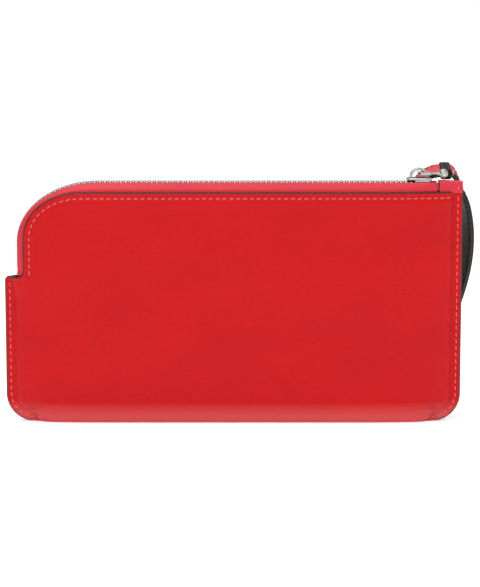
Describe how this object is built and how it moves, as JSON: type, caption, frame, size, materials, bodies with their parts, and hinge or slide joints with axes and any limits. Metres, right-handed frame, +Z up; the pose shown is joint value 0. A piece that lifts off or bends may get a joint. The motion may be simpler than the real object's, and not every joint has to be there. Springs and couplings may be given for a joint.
{
  "type": "zip around wallet",
  "caption": "Slim leather wristlet wallet, zipped along its top and down one side, with a wrist strap on the zip pull",
  "frame": {"origin": "centre of the flat underside of the bottom fold", "axes": "+X to the right along the wallet's length, seen from the back wall; +Y from the back wall to the front wall; +Z up to the zip"},
  "size_m": [0.1971, 0.0291, 0.1076],
  "materials": {
    "red_leather": "fine crossgrain, satin",
    "gusset_leather": "smooth, satin",
    "strap_red": "fine crossgrain, satin",
    "black_leather": "smooth, satin",
    "card_leather": "smooth, satin",
    "lining_fabric": "woven, matt",
    "zip_tape": "woven, matt",
    "zip_metal": "nickel plated",
    "polished_metal": "polished nickel",
    "board": "pressed fibre, matt"
  },
  "bodies": {
    "wallet": {"outer_leather": "red_leather", "lining_bag": "lining_fabric", "gusset_strip_front": "gusset_leather", "gusset_strip_back": "gusset_leather", "zip_tape_front": "zip_tape", "zip_tape_back": "zip_tape", "zip_teeth_front": "zip_metal", "zip_teeth_back": "zip_metal", "zip_top_stops": "zip_metal", "zip_bottom_stop": "zip_metal", "zip_end_tab": "gusset_leather", "bottom_stiffener": "board", "card_backing": "card_leather", "card_pocket_top": "card_leather", "card_pocket_middle": "card_leather", "card_pocket_bottom": "card_leather"},
    "back_flap": {"back_flap_leather": "red_leather", "back_flap_lining": "lining_fabric"},
    "slider": {"slider_body": "polished_metal", "slider_crown": "polished_metal", "slider_lock_spring": "polished_metal"},
    "pull": {"pull_tab": "polished_metal"},
    "link": {"link_rivet": "polished_metal", "strap_link": "polished_metal"},
    "strap": {"strap_keeper": "black_leather", "strap_leather": "strap_red", "strap_lining": "black_leather"}
  },
  "joints": [
    {"name": "zip_slide", "type": "slide", "parent": "wallet", "child": "slider", "axis": [-1, 0, 0], "range_m": [0, 0.126], "deforming": ["zip_teeth_front", "zip_teeth_back", "zip_top_stops"]},
    {"name": "back_mouth", "type": "hinge", "parent": "wallet", "child": "back_flap", "pos_m": [0, -0.008, 0.05], "axis": [1, 0, 0], "range_deg": [0, 19], "deforming": ["gusset_strip_back", "zip_tape_back"]},
    {"name": "pull_flip", "type": "hinge", "parent": "slider", "child": "pull", "pos_m": [0.077, 0, 0.1044], "axis": [0, -1, 0], "range_deg": [0, 165]},
    {"name": "link_plumb", "type": "hinge", "parent": "pull", "child": "link", "pos_m": [0.0872, 0, 0.1044], "axis": [0, -1, 0], "range_deg": [-165, 0]},
    {"name": "strap_lift", "type": "hinge", "parent": "link", "child": "strap", "pos_m": [0.0886, 0.0032, 0.1044], "axis": [1, 0, 0], "range_deg": [0, 60]}
  ],
  "couplings": [
    {"joint": "back_mouth", "follows": "zip_slide", "rad_per_m": 2.6},
    {"joint": "link_plumb", "follows": "pull_flip", "ratio": -1}
  ]
}
